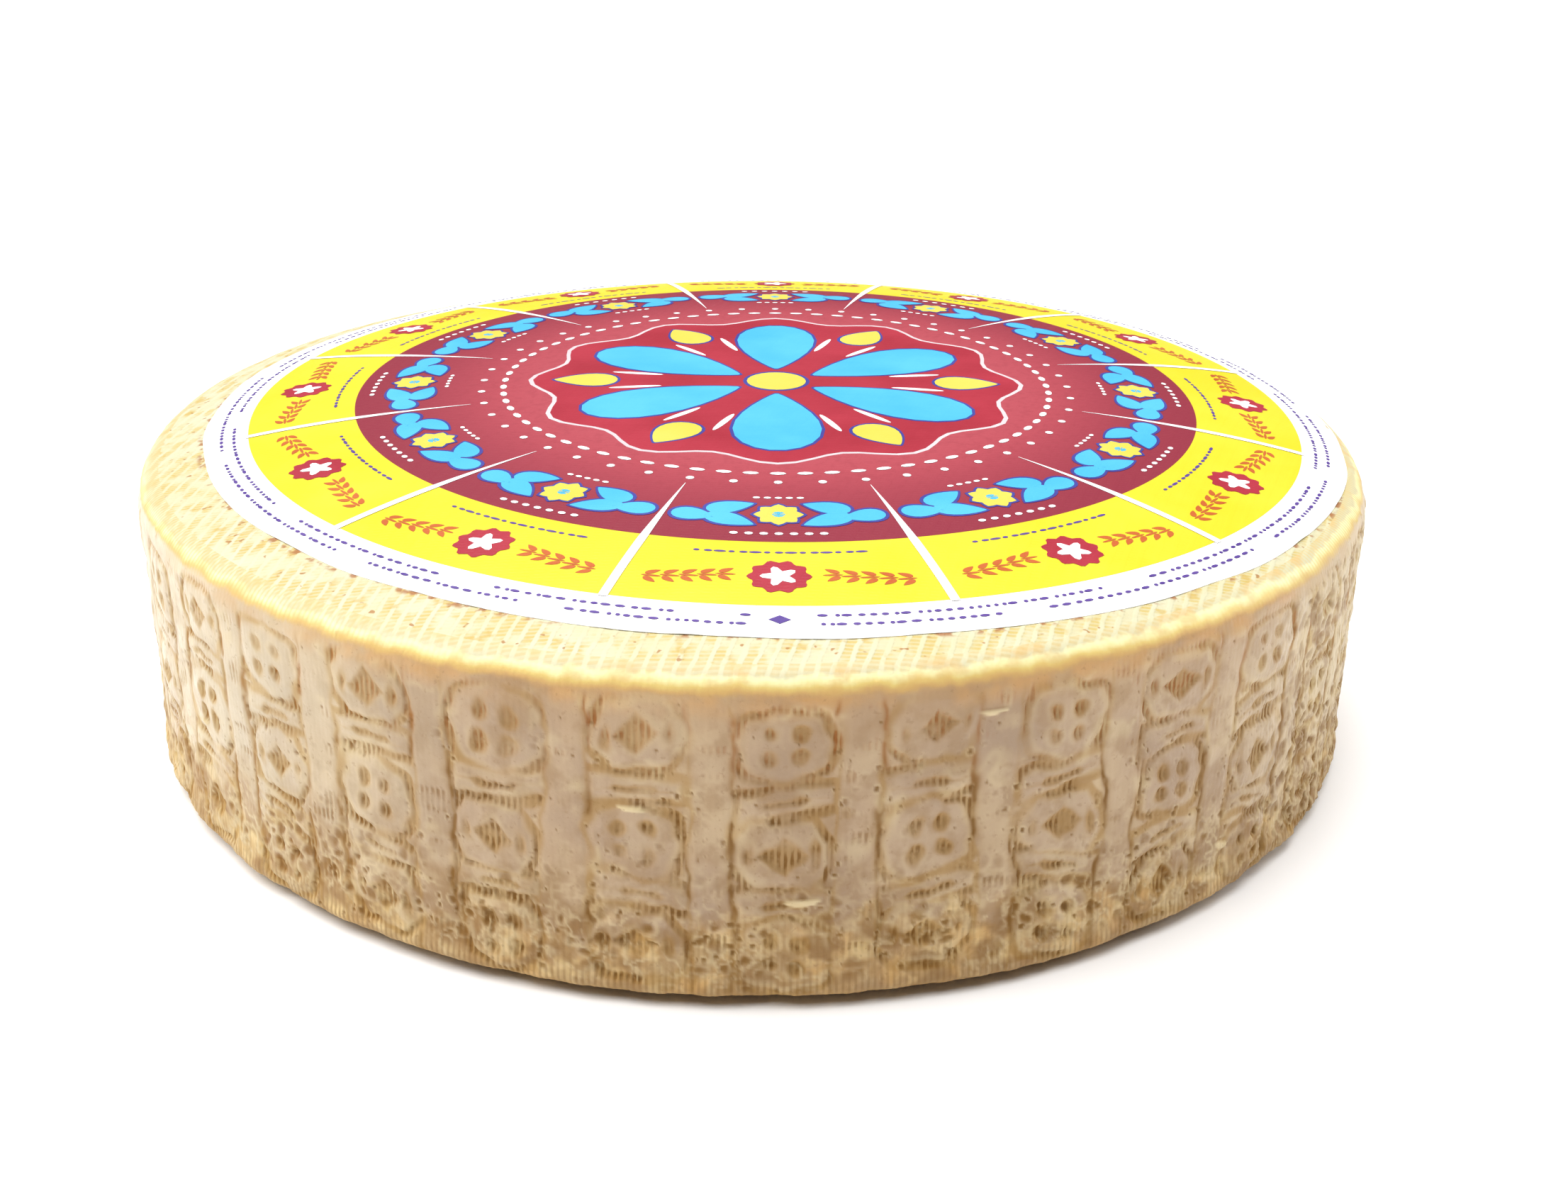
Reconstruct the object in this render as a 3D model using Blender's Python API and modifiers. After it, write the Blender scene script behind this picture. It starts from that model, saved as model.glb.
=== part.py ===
"""An aged cheese wheel: a low drum with a crowned top and a moulded side, and its round paper label.

Units are metres and +Z is up. The wheel stands on the origin. An azimuth is measured from -Y
towards +X, so azimuth 0 is the front.
"""
import math

import bmesh
import bpy
from mathutils import Matrix, Vector

# The wheel's driving dimensions
SIDE_RADIUS = 0.1393        # side wall between the raised ornaments
RIM_HEIGHT = 0.0667         # height of the top's outer edge
CROWN_HEIGHT = 0.0077       # how far the middle of the top stands above that edge
CROWN_RADIUS = 0.134        # where the crown has dropped to the rim height
CROWN_POWER = 4.0           # the crown is flat in the middle and falls towards the edge
SHOULDER_RADIUS = 0.0055    # rounding from the top into the side
FOOT_RADIUS = 0.004         # rounding from the side into the base
CROWN_RINGS = (0.0, 0.045, 0.075, 0.095, 0.11, 0.12, 0.128)
SHOULDER_RINGS = (78, 52, 26, 0)    # degrees round the shoulder, from the top down
FOOT_RINGS = (0, 30, 60, 90)        # degrees round the foot, from the side down

# The moulded side: columns of ornaments, each on its own flat panel
COLUMN_COUNT = 34
FIRST_COLUMN = math.radians(2.4)
PANEL_ANGLE = math.radians(7.2)
RELIEF = 0.0008             # how far an ornament stands out
ROOT = 0.001                # how deep an ornament is rooted in the wheel
ORNAMENT_WIDTH = 0.0166
ORNAMENT_GAP = 0.0013
ORNAMENT_HEIGHTS = {"rosette": 0.013, "lozenge": 0.012, "bar": 0.0042}
ROSETTE_HOLE = (0.0030, 0.0026)     # half width and half height of the hole
LOZENGE_HOLE = (0.0040, 0.0026)
LOZENGE_CORNER = 0.45               # where a lozenge's upper corner lies, as a share of its half width
COLUMN_PATTERNS = (
    (0.0045, ("rosette", "bar", "lozenge", "bar", "rosette")),
    (0.0075, ("lozenge", "bar", "rosette", "bar", "lozenge")),
)

# The wheel has settled unevenly while it aged: each wave has its count round the wheel, its share
# and its phase
SIDE_UNEVENNESS = 0.00025
SIDE_WAVES = ((2, 1.0, 0.7), (4, 0.6, 2.1))
RIM_UNEVENNESS = 0.00035
RIM_WAVES = ((2, 1.0, 2.4), (3, 0.7, 0.9))

# The label, pasted on a little off centre
LABEL_RADIUS = 0.131
LABEL_CENTRE = (0.005, 0.003)
LABEL_THICKNESS = 0.0003
LABEL_GAP = 0.0003
PRINT_RADII = {"red": 0.0977, "yellow": 0.1212}
LABEL_RINGS = (0.04, 0.065, 0.083, PRINT_RADII["red"], 0.110, PRINT_RADII["yellow"], 0.1275, LABEL_RADIUS)
LABEL_SEGMENTS = 60

# Materials: name, colour and roughness
RIND_MATERIAL = ("rind", (0.56, 0.37, 0.20), 0.45)
LABEL_MATERIALS = (
    ("paper", (0.95, 0.95, 0.93), 0.6),
    ("print_red", (0.45, 0.10, 0.12), 0.5),
    ("print_yellow", (0.95, 0.86, 0.13), 0.5),
)

MERGE_DISTANCE = 0.00001
SHARP_ANGLE = math.radians(35)

SHOULDER_CENTRE_RADIUS = SIDE_RADIUS - SHOULDER_RADIUS
SHOULDER_START = math.radians(SHOULDER_RINGS[0])
CROWN_EDGE_RADIUS = SHOULDER_CENTRE_RADIUS + SHOULDER_RADIUS * math.cos(SHOULDER_START)


def clear_scene():
    for item in list(bpy.data.objects):
        bpy.data.objects.remove(item)


def make_collection(name):
    collection = bpy.data.collections.new(name)
    bpy.context.scene.collection.children.link(collection)
    return collection


def make_material(name, colour, roughness):
    material = bpy.data.materials.new(name)
    material.use_nodes = True
    shader = material.node_tree.nodes["Principled BSDF"]
    shader.inputs["Base Color"].default_value = (*colour, 1.0)
    shader.inputs["Roughness"].default_value = roughness
    shader.inputs["Metallic"].default_value = 0.0
    material.diffuse_color = (*colour, 1.0)
    return material


# ---- The wheel's form ---------------------------------------------------------------------

def crown_height(radius):
    """Height of the crowned top at a distance from the axis."""
    return RIM_HEIGHT + CROWN_HEIGHT * (1 - (radius / CROWN_RADIUS) ** CROWN_POWER)


def shoulder_centre_height():
    return crown_height(CROWN_EDGE_RADIUS) - SHOULDER_RADIUS * math.sin(SHOULDER_START)


def top_height(radius):
    """Height of the upper surface, crown and shoulder together."""
    if radius <= CROWN_EDGE_RADIUS:
        return crown_height(radius)
    reach = min(radius - SHOULDER_CENTRE_RADIUS, SHOULDER_RADIUS)
    return shoulder_centre_height() + math.sqrt(SHOULDER_RADIUS ** 2 - reach ** 2)


def wheel_profile():
    """Half section of the wheel, from the middle of the top down the side to the base."""
    points = [(radius, top_height(radius)) for radius in CROWN_RINGS]
    for degrees in SHOULDER_RINGS:
        angle = math.radians(degrees)
        radius = SHOULDER_CENTRE_RADIUS + SHOULDER_RADIUS * math.cos(angle)
        points.append((radius, shoulder_centre_height() + SHOULDER_RADIUS * math.sin(angle)))
    for degrees in FOOT_RINGS:
        angle = math.radians(degrees)
        radius = SIDE_RADIUS - FOOT_RADIUS * (1 - math.cos(angle))
        points.append((radius, FOOT_RADIUS * (1 - math.sin(angle))))
    points.append((0.0, 0.0))
    return points


def wave(azimuth, waves):
    return sum(share * math.sin(count * azimuth + phase) for count, share, phase in waves)


def settled(point):
    """A point of the ideal wheel moved to where it lies on the real, slightly uneven one."""
    azimuth = math.atan2(point.x, -point.y)
    reach = math.hypot(point.x, point.y) / SIDE_RADIUS
    stretch = 1 + SIDE_UNEVENNESS * wave(azimuth, SIDE_WAVES) / SIDE_RADIUS
    lift = RIM_UNEVENNESS * wave(azimuth, RIM_WAVES) * reach ** 2 * point.z / RIM_HEIGHT
    return Vector((point.x * stretch, point.y * stretch, point.z + lift))


def turned_object(name, profile, steps, collection):
    """Turn a half section at +X, given from top to bottom, into a closed solid."""
    mesh = bpy.data.meshes.new(name)
    edges = [(index, index + 1) for index in range(len(profile) - 1)]
    mesh.from_pydata([(radius, 0.0, height) for radius, height in profile], edges, [])
    turned = bpy.data.objects.new(name, mesh)
    collection.objects.link(turned)
    screw = turned.modifiers.new("Turn", "SCREW")
    screw.steps = steps
    screw.render_steps = steps
    screw.use_merge_vertices = True
    screw.merge_threshold = MERGE_DISTANCE
    return turned


def apply_modifiers(item):
    """Replace an object's mesh by its evaluated one."""
    evaluated = item.evaluated_get(bpy.context.evaluated_depsgraph_get())
    mesh = bpy.data.meshes.new_from_object(evaluated)
    item.modifiers.clear()
    item.data = mesh
    return mesh


def gather_panels(mesh):
    """Move the side's evenly spaced edges so that wide panels and narrow gutters take turns."""
    step = math.pi / COLUMN_COUNT
    for vertex in mesh.vertices:
        radius = math.hypot(vertex.co.x, vertex.co.y)
        if radius < MERGE_DISTANCE:
            continue
        index = round(math.atan2(vertex.co.x, -vertex.co.y) / step) % (2 * COLUMN_COUNT)
        column, side = divmod(index, 2)
        azimuth = FIRST_COLUMN + 2 * step * column + (side - 0.5) * PANEL_ANGLE
        vertex.co.x = radius * math.sin(azimuth)
        vertex.co.y = -radius * math.cos(azimuth)


# ---- The ornaments on the side ------------------------------------------------------------

def ellipse(half_width, half_height, count):
    turn = 2 * math.pi / count
    return [(half_width * math.cos(turn * index), half_height * math.sin(turn * index))
            for index in range(count)]


def ornament_outlines(kind):
    """Closed outlines of an ornament: the outer edge, and the hole if it has one."""
    half_width = ORNAMENT_WIDTH / 2
    half_height = ORNAMENT_HEIGHTS[kind] / 2
    if kind == "rosette":
        return [ellipse(half_width, half_height, 12), ellipse(*ROSETTE_HOLE, 6)]
    if kind == "lozenge":
        corner = LOZENGE_CORNER * half_width
        edge = [(half_width, 0.0), (corner, half_height), (-corner, half_height),
                (-half_width, 0.0), (-corner, -half_height), (corner, -half_height)]
        return [edge, ellipse(*LOZENGE_HOLE, 4)]
    return [[(half_width, -half_height), (half_width, half_height),
             (-half_width, half_height), (-half_width, -half_height)]]


def ornament_mesh(kind):
    """A flat slab of the ornament's outline, as thick as its relief and its root."""
    curve = bpy.data.curves.new(kind, "CURVE")
    curve.dimensions = "2D"
    curve.fill_mode = "BOTH"
    curve.extrude = (RELIEF + ROOT) / 2
    for outline in ornament_outlines(kind):
        spline = curve.splines.new("POLY")
        spline.points.add(len(outline) - 1)
        for point, (across, along) in zip(spline.points, outline):
            point.co = (across, along, 0.0, 1.0)
        spline.use_cyclic_u = True
    pattern = bpy.data.objects.new(kind, curve)
    bpy.context.scene.collection.objects.link(pattern)
    bpy.context.view_layer.update()
    evaluated = pattern.evaluated_get(bpy.context.evaluated_depsgraph_get())
    mesh = bpy.data.meshes.new_from_object(evaluated)
    bpy.data.objects.remove(pattern)
    shape = bmesh.new()
    shape.from_mesh(mesh)
    bmesh.ops.remove_doubles(shape, verts=shape.verts, dist=MERGE_DISTANCE)
    bmesh.ops.recalc_face_normals(shape, faces=shape.faces)
    shape.to_mesh(mesh)
    shape.free()
    return mesh


def ornament_place(azimuth, height):
    """Matrix that stands an ornament upright on its panel, facing outwards."""
    outwards = Vector((math.sin(azimuth), -math.cos(azimuth), 0.0))
    across = Vector((math.cos(azimuth), math.sin(azimuth), 0.0))
    panel_distance = SIDE_RADIUS * math.cos(PANEL_ANGLE / 2)
    centre = outwards * (panel_distance + (RELIEF - ROOT) / 2)
    centre.z = height
    turn = Matrix((across, Vector((0.0, 0.0, 1.0)), outwards)).transposed()
    return Matrix.Translation(centre) @ turn.to_4x4()


def make_ornaments(collection):
    """One slab for each ornament, stacked in columns whose two patterns take turns."""
    meshes = {kind: ornament_mesh(kind) for kind in ORNAMENT_HEIGHTS}
    for column in range(COLUMN_COUNT):
        azimuth = FIRST_COLUMN + 2 * math.pi * column / COLUMN_COUNT
        height, kinds = COLUMN_PATTERNS[column % len(COLUMN_PATTERNS)]
        for kind in kinds:
            ornament = bpy.data.objects.new(f"ornament_{column}_{kind}", meshes[kind])
            ornament.matrix_world = ornament_place(azimuth, height + ORNAMENT_HEIGHTS[kind] / 2)
            ornament.hide_render = True
            ornament.display_type = "WIRE"
            collection.objects.link(ornament)
            height += ORNAMENT_HEIGHTS[kind] + ORNAMENT_GAP


# ---- The two pieces -----------------------------------------------------------------------

def make_wheel(collection, ornaments):
    wheel = turned_object("cheese_wheel", wheel_profile(), 2 * COLUMN_COUNT, collection)
    bpy.context.view_layer.update()
    gather_panels(apply_modifiers(wheel))
    make_ornaments(ornaments)
    union = wheel.modifiers.new("Ornaments", "BOOLEAN")
    union.operation = "UNION"
    union.operand_type = "COLLECTION"
    union.collection = ornaments
    union.solver = "EXACT"
    bpy.context.view_layer.update()
    mesh = apply_modifiers(wheel)
    for ornament in list(ornaments.objects):
        bpy.data.objects.remove(ornament)
    shape = bmesh.new()
    shape.from_mesh(mesh)
    bmesh.ops.triangulate(shape, faces=shape.faces)
    shape.to_mesh(mesh)
    shape.free()
    for vertex in mesh.vertices:
        vertex.co = settled(vertex.co)
    mesh.shade_smooth()
    mesh.set_sharp_from_angle(angle=SHARP_ANGLE)
    mesh.materials.clear()
    mesh.materials.append(make_material(*RIND_MATERIAL))


def on_the_top(across, along, lift):
    """The point that stands a given distance off the upper surface, along its normal."""
    radius = max(math.hypot(across, along), MERGE_DISTANCE)
    slope = (top_height(radius + MERGE_DISTANCE) - top_height(radius)) / MERGE_DISTANCE
    normal = Vector((-slope * across / radius, -slope * along / radius, 1.0)).normalized()
    return settled(Vector((across, along, top_height(radius)))) + normal * lift


def make_label(collection):
    """A thin paper disc that follows the wheel's top, with its fields of print."""
    upper = [(radius, LABEL_THICKNESS) for radius in (0.0, *LABEL_RINGS)]
    lower = [(radius, 0.0) for radius in (*reversed(LABEL_RINGS), 0.0)]
    label = turned_object("label", upper + lower, LABEL_SEGMENTS, collection)
    bpy.context.view_layer.update()
    mesh = apply_modifiers(label)
    for name, colour, roughness in LABEL_MATERIALS:
        mesh.materials.append(make_material(name, colour, roughness))
    for face in mesh.polygons:
        reach = math.hypot(face.center.x, face.center.y)
        if face.normal.z > 0.5 and reach < PRINT_RADII["red"]:
            face.material_index = 1
        elif face.normal.z > 0.5 and reach < PRINT_RADII["yellow"]:
            face.material_index = 2
    for vertex in mesh.vertices:
        across = vertex.co.x + LABEL_CENTRE[0]
        along = vertex.co.y + LABEL_CENTRE[1]
        vertex.co = on_the_top(across, along, LABEL_GAP + vertex.co.z)
    mesh.shade_smooth()
    mesh.set_sharp_from_angle(angle=SHARP_ANGLE)


def main():
    clear_scene()
    pieces = make_collection("cheese")
    cutters = make_collection("ornament_blanks")
    make_wheel(pieces, cutters)
    make_label(pieces)


main()
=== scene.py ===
"""The looks of an aged cheese wheel: its coated, moulded rind and its printed round label.

Units are metres and +Z is up. An azimuth is measured from -Y towards +X, so azimuth 0 is the front.
"""

import math

import bmesh
import bpy
import numpy as np
from mathutils import Matrix, Vector


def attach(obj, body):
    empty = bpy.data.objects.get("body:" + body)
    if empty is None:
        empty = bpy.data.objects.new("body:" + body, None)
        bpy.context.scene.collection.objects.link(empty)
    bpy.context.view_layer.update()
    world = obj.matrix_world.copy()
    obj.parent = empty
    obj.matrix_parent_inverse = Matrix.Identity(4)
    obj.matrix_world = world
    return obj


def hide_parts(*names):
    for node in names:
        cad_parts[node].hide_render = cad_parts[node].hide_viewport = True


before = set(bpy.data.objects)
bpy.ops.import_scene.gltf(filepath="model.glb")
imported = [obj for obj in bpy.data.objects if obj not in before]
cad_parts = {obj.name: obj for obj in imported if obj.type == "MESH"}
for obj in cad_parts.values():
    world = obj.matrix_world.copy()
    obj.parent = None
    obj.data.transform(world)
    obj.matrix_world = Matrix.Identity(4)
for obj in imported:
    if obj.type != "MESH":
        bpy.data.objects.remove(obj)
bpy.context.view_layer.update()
MM = 0.001
FULL_TURN = 2 * math.pi

# The photograph's camera
PHOTO_WIDTH = 2212
FOCAL_PIXELS = 2573.8
SENSOR_WIDTH = 36.0
CAMERA_PLACE = (0.0017, -0.4130, 0.2004)
CAMERA_YAW = 0.01374
CAMERA_PITCH = 0.40724
CAMERA_ROLL = 0.01252

# The wheel, as in the CAD model. A wave is its count round the wheel, its share and its phase.
SIDE_RADIUS = 0.1393
RIM_HEIGHT = 0.0667
CROWN_HEIGHT = 0.0077
CROWN_RADIUS = 0.134
CROWN_POWER = 4.0
SHOULDER_RADIUS = 0.0055
SHOULDER_START = math.radians(78)
SIDE_UNEVENNESS = 0.00025
SIDE_WAVES = ((2, 1.0, 0.7), (4, 0.6, 2.1))
RIM_UNEVENNESS = 0.00035
RIM_WAVES = ((2, 1.0, 2.4), (3, 0.7, 0.9))

# The lower edge, which stands a little clear of the floor and flares a little
FOOT_RADIUS = 0.0026
FOOT_LIFT = 0.0019
FOOT_FLARE = 0.8                # mm
BASE_RADIUS = 0.114

# The meshes' density
STEPS_PER_COLUMN = 84
SHOULDER_STEPS = 11
WALL_STEPS = 113
FOOT_STEPS = 8
TOP_STEPS = 25
BASE_STEPS = 12
SECTORS = (7, 7, 6, 7, 7)       # columns in each piece of the side
HIDDEN_RADII = (0.0, 0.03, 0.06, 0.085, 0.105, 0.115)
VISIBLE_TOP_RADIUS = 0.1225

# The moulded side
COLUMN_COUNT = 34
COLUMN_ANGLE = FULL_TURN / COLUMN_COUNT
FIRST_COLUMN = math.radians(2.4)
RIBS_PER_COLUMN = 22
RIB_COUNT = RIBS_PER_COLUMN * COLUMN_COUNT
PATTERN_STRETCH = 1.08

# The ornaments, in mm
PANEL_HALF = 8.8                # from a column's middle to its gutter
ORNAMENT_HALF = 8.3
ORNAMENT_GAP = 1.3
PATTERN_FOOT = 4.0
ORNAMENT_HEIGHTS = {"rosette": 13.0, "lozenge": 12.0, "bar": 4.2}
COLUMN_PATTERNS = (             # the lowest ornament's start, and the ornaments upwards
    (4.5, ("rosette", "bar", "lozenge", "bar", "rosette")),
    (6.4, ("lozenge", "bar", "rosette", "bar", "lozenge")),
)
ROSETTE_HALF_HEIGHT = 6.5
ROSETTE_POWER = 2.6
SCALLOP_COUNT = 8
SLOT_RADIUS = 1.1
SLOT_ASIDE = 2.6
SLOT_ABOVE = 2.25
LOZENGE_HALF_HEIGHT = 6.0

# Torn flaps of the coat: azimuth in degrees, height in mm, half width in degrees, half height and slope in mm
FLAKES = (
    (3.8, 22.6, 1.7, 0.9, 0.3),
    (41.2, 14.2, 1.0, 0.9, -0.6),
    (-52.0, 30.0, 1.2, 0.8, 0.4),
    (17.5, 57.2, 1.4, 0.5, 0.2),
    (-8.4, 40.6, 1.3, 0.7, -0.3),
    (150.0, 20.0, 1.6, 1.0, 0.3),
    (-120.0, 25.0, 1.5, 0.8, -0.4),
)

# Scattered holes: their spacing, the share of places that have one, least and greatest radius, seed
FEW_PITS = (0.0023, 0.5, (0.0003, 0.0008), 71)
MANY_PITS = (0.0030, 0.75, (0.0006, 0.0017), 77)
COARSE_PITS = (0.0034, 0.9, (0.0009, 0.0024), 83)
BUBBLES = (0.0062, 0.5, (0.0002, 0.0005), 97)
RIM_CRUMBS = (0.0021, 0.3, (0.0003, 0.0007), 131)

# The cloth marks on the top and the base: broad stripes, crossed by fine rows
CLOTH_PITCH = 0.00302
CLOTH_ROW = 0.00109
CLOTH_SLANT = -0.317
CLOTH_BEND = -1.0

# The label and its layers
LABEL_RADIUS = 0.1310
LABEL_CENTRE = (0.005, 0.003)
LABEL_STEPS = 540
FIELD_STEPS = 360
RED_RADIUS = 0.0977
YELLOW_RADIUS = 0.1212
FIELD_OVERLAP = 0.0006
PAPER_LIFT = 0.00014
PAPER_THICKNESS = 0.00012
PAPER_RIPPLE = 0.00020
INK_STEP = 0.00002
SHARP_ANGLE = math.radians(50)

# The print's motifs
SEGMENT_COUNT = 12
SPOKE_START = 0.072
SPOKE_HALF_WIDTH = 0.0009
GARLAND_RADIUS = 0.0855
GARLAND_LEAVES = ((0.0092, 0.0028, 68), (0.0098, -0.0032, 114), (0.0164, 0.0014, 82))
LEAF_LENGTH = 0.0106
LEAF_WIDTH = 0.0056
GARLAND_BEADS = ((3, 0.0088, 0.0026, 0.00085, 0.0006), (2, -0.0082, 0.0024, 0.00075, 0.0005))
BEAD_RINGS = ((72, 0.0640, 0.0017, 0.0008), (48, 0.0690, 0.0009, 0.0009))
SPRIG_RADIUS = 0.1112
DASH_RADIUS = 0.1021
RIM_PRINT_RADII = (0.1243, 0.1270)
RIM_PRINT_START = 0.06
RIM_PRINT_END = FULL_TURN - 0.04
RIM_DASHES = (0.00045, 0.0007, 0.001)

# The rim's band of yellow: where it starts, and its shares for each metre of height
RIM_LINE = 0.0628
RIM_RISE = 294.0

# The side's dark and light places, where the coat is tan and where it is pale: a whitish coat, partly painted
# light from the sides
TWO_TONES = {
    "blotch": ((154, 116, 70), (176, 134, 82)),
    "soil": ((174, 135, 84), (204, 164, 100)),
    "stain": ((144, 103, 54), (158, 112, 62)),
    "lip": ((226, 202, 160), (216, 194, 154)),
    "pit": ((132, 93, 47), (148, 104, 60)),
}

# How brightly the studio lights a white surface
SIDE_LIGHT = (1.12, 1.10, 1.14)
TOP_LIGHT = (1.75, 1.77, 1.81)
RIM_LIGHT = (1.22, 1.18, 1.20)
LABEL_LIGHT = (1.45, 1.45, 1.45)

SHOULDER_CENTRE = SIDE_RADIUS - SHOULDER_RADIUS
CROWN_EDGE = SHOULDER_CENTRE + SHOULDER_RADIUS * math.cos(SHOULDER_START)


def crown_height(radius):
    return RIM_HEIGHT + CROWN_HEIGHT * (1 - (radius / CROWN_RADIUS) ** CROWN_POWER)


SHOULDER_HEIGHT = crown_height(CROWN_EDGE) - SHOULDER_RADIUS * math.sin(SHOULDER_START)


# ---- Soft steps and random fields ----

def rise(value, low, high):
    """0 below low, 1 above high and smooth between them; high may be the smaller of the two."""
    share = np.clip((value - low) / (high - low), 0.0, 1.0)
    return share * share * (3 - 2 * share)


def bell(value, middle, width):
    """1 at the middle, falling off softly on both sides."""
    return np.exp(-((value - middle) / width) ** 2)


def most(*fields):
    return np.maximum.reduce(fields)


def bearing(azimuth):
    """The azimuth in degrees, between -180 and 180."""
    return (np.degrees(azimuth) + 180) % 360 - 180


def waves(azimuth, harmonics):
    return sum(share * np.sin(count * azimuth + phase) for count, share, phase in harmonics)


def scatter(cells, seed):
    """A random number between 0 and 1 for each whole-number cell."""
    mixed = cells[..., 0] * 374761393 + cells[..., 1] * 668265263 + cells[..., 2] * 1103515245
    mixed = (mixed + seed * 974634777) & 0xFFFFFFFF
    mixed = ((mixed ^ (mixed >> 15)) * 2246822519) & 0xFFFFFFFF
    mixed = ((mixed ^ (mixed >> 13)) * 3266489917) & 0xFFFFFFFF
    return (mixed ^ (mixed >> 16)) / 2 ** 32


def mottle(points, size, seed):
    """A smooth random field between 0 and 1, with lumps of about the given size."""
    cell = points / size + 1000.0
    base = np.floor(cell).astype(np.int64)
    share = cell - base
    share = share * share * (3 - 2 * share)
    total = np.zeros(len(points))
    for corner in range(8):
        offset = np.array([(corner >> bit) & 1 for bit in range(3)])
        weight = np.prod(np.where(offset == 1, share, 1 - share), axis=1)
        total += weight * scatter(base + offset, seed)
    return total


def grain(points, size, seed):
    """Three layers of mottle, each half as large and half as strong as the one before."""
    layers = [mottle(points, size / 2 ** octave, seed + octave) for octave in range(3)]
    return (layers[0] + 0.5 * layers[1] + 0.25 * layers[2]) / 1.75


def patches(points, size, seed, low, high):
    """Soft-edged patches, where the mottle passes from low to high."""
    return rise(mottle(points, size, seed), low, high)


def pits(azimuth, height, spacing, chance, sizes, seed):
    """How far a place on the side lies from the nearest of the scattered holes, in the hole's own radii."""
    far = 9.0
    count = round(FULL_TURN * SIDE_RADIUS / spacing)
    across = azimuth / FULL_TURN * count
    up = height / spacing + 10
    column = np.floor(across).astype(np.int64)
    row = np.floor(up).astype(np.int64)
    nearest = np.full(len(azimuth), far)
    for aside in (-1, 0, 1):
        for above in (-1, 0, 1):
            cell = np.stack([(column + aside) % count, row + above, 0 * row], axis=-1)
            middle_across = column + aside + scatter(cell, seed)
            middle_up = row + above + scatter(cell, seed + 1)
            size = sizes[0] + (sizes[1] - sizes[0]) * scatter(cell, seed + 2) ** 2
            distance = np.hypot(across - middle_across, up - middle_up) * spacing / size
            distance = np.where(scatter(cell, seed + 3) < chance, distance, far)
            nearest = np.minimum(nearest, distance)
    return nearest


def hollow(distance):
    return rise(distance, 1.0, 0.4)


def brim(distance):
    return bell(distance, 1.2, 0.28)


# ---- The ornaments of the side, in millimetres from their middle ----

def rosette(across, up):
    """How far inside a scalloped rosette a place lies, and how far inside its four round slots."""
    wide = across / ORNAMENT_HALF
    tall = up / ROSETTE_HALF_HEIGHT
    reach = (np.abs(wide) ** ROSETTE_POWER + np.abs(tall) ** ROSETTE_POWER) ** (1 / ROSETTE_POWER)
    inside = (0.98 + 0.03 * np.cos(SCALLOP_COUNT * np.arctan2(tall, wide)) - reach) * 7.2
    slots = SLOT_RADIUS - np.hypot(np.abs(across) - SLOT_ASIDE, np.abs(up) - SLOT_ABOVE)
    return inside, slots


def lozenge(across, up):
    """The same for a lozenge with cut ends, a lozenge-shaped slot and two short ones."""
    slope = (ORNAMENT_HALF * 6.0 + 8.0 - 6.0 * np.abs(across) - 4.56 * np.abs(up)) / 7.54
    inside = np.minimum(np.minimum(slope, LOZENGE_HALF_HEIGHT - np.abs(up)), ORNAMENT_HALF - np.abs(across))
    middle = (1 - np.abs(across) / 3.6 - np.abs(up) / 2.7) * 2.2
    ends = 0.5 - np.hypot((np.abs(across) - 5.8) * 0.9, up * 0.5)
    return inside, np.maximum(middle, ends)


def bar(across, up):
    """The same for a bent bar with one long slot."""
    bent = up - 0.55 * np.cos(across * 0.19) + 0.3
    inside = np.minimum(ORNAMENT_HALF - np.abs(across), 2.1 - 0.05 * across - np.abs(bent))
    return inside, 0.35 - np.abs(bent + 0.3) - rise(np.abs(across), 3.0, 5.0)


ORNAMENTS = {"rosette": rosette, "lozenge": lozenge, "bar": bar}


def side_pattern(azimuth, height):
    """How far inside an ornament, inside its slots and inside a gutter a place on the side lies."""
    column = np.round((azimuth - FIRST_COLUMN) / COLUMN_ANGLE).astype(np.int64)
    across = (azimuth - FIRST_COLUMN - column * COLUMN_ANGLE) * SIDE_RADIUS / MM
    column = column % COLUMN_COUNT
    up = PATTERN_FOOT + (height / MM - PATTERN_FOOT) / PATTERN_STRETCH
    inside = np.full_like(up, -3.0)
    hole = np.full_like(up, -1.0)
    uneven = np.random.default_rng(11)
    for parity, (low, kinds) in enumerate(COLUMN_PATTERNS):
        for kind in kinds:
            tall = ORNAMENT_HEIGHTS[kind]
            middle = low + tall / 2
            shift, swing, swell, gape, tilt, lopsided = uneven.uniform(-1, 1, (6, COLUMN_COUNT))
            near = (column % 2 == parity) & (np.abs(up - middle) < tall / 2 + 3)
            here = column[near]
            aside = across[near] + 0.7 * shift[here]
            lean = 0.16 if kind == "bar" else 0.09
            above = up[near] - middle + 0.7 * swing[here] + lean * tilt[here] * across[near]
            deep, open_part = ORNAMENTS[kind](aside, above)
            deep = deep + 0.35 * swell[here]
            nearer = deep > inside[near]
            inside[near] = np.where(nearer, deep, inside[near])
            open_part += 0.22 * gape[here] + 0.18 * lopsided[here] * np.sign(aside)
            hole[near] = np.where(nearer, open_part, hole[near])
            low += tall + ORNAMENT_GAP
    return inside, hole, np.abs(across) - PANEL_HALF


# ---- The rind's surface ----

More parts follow.
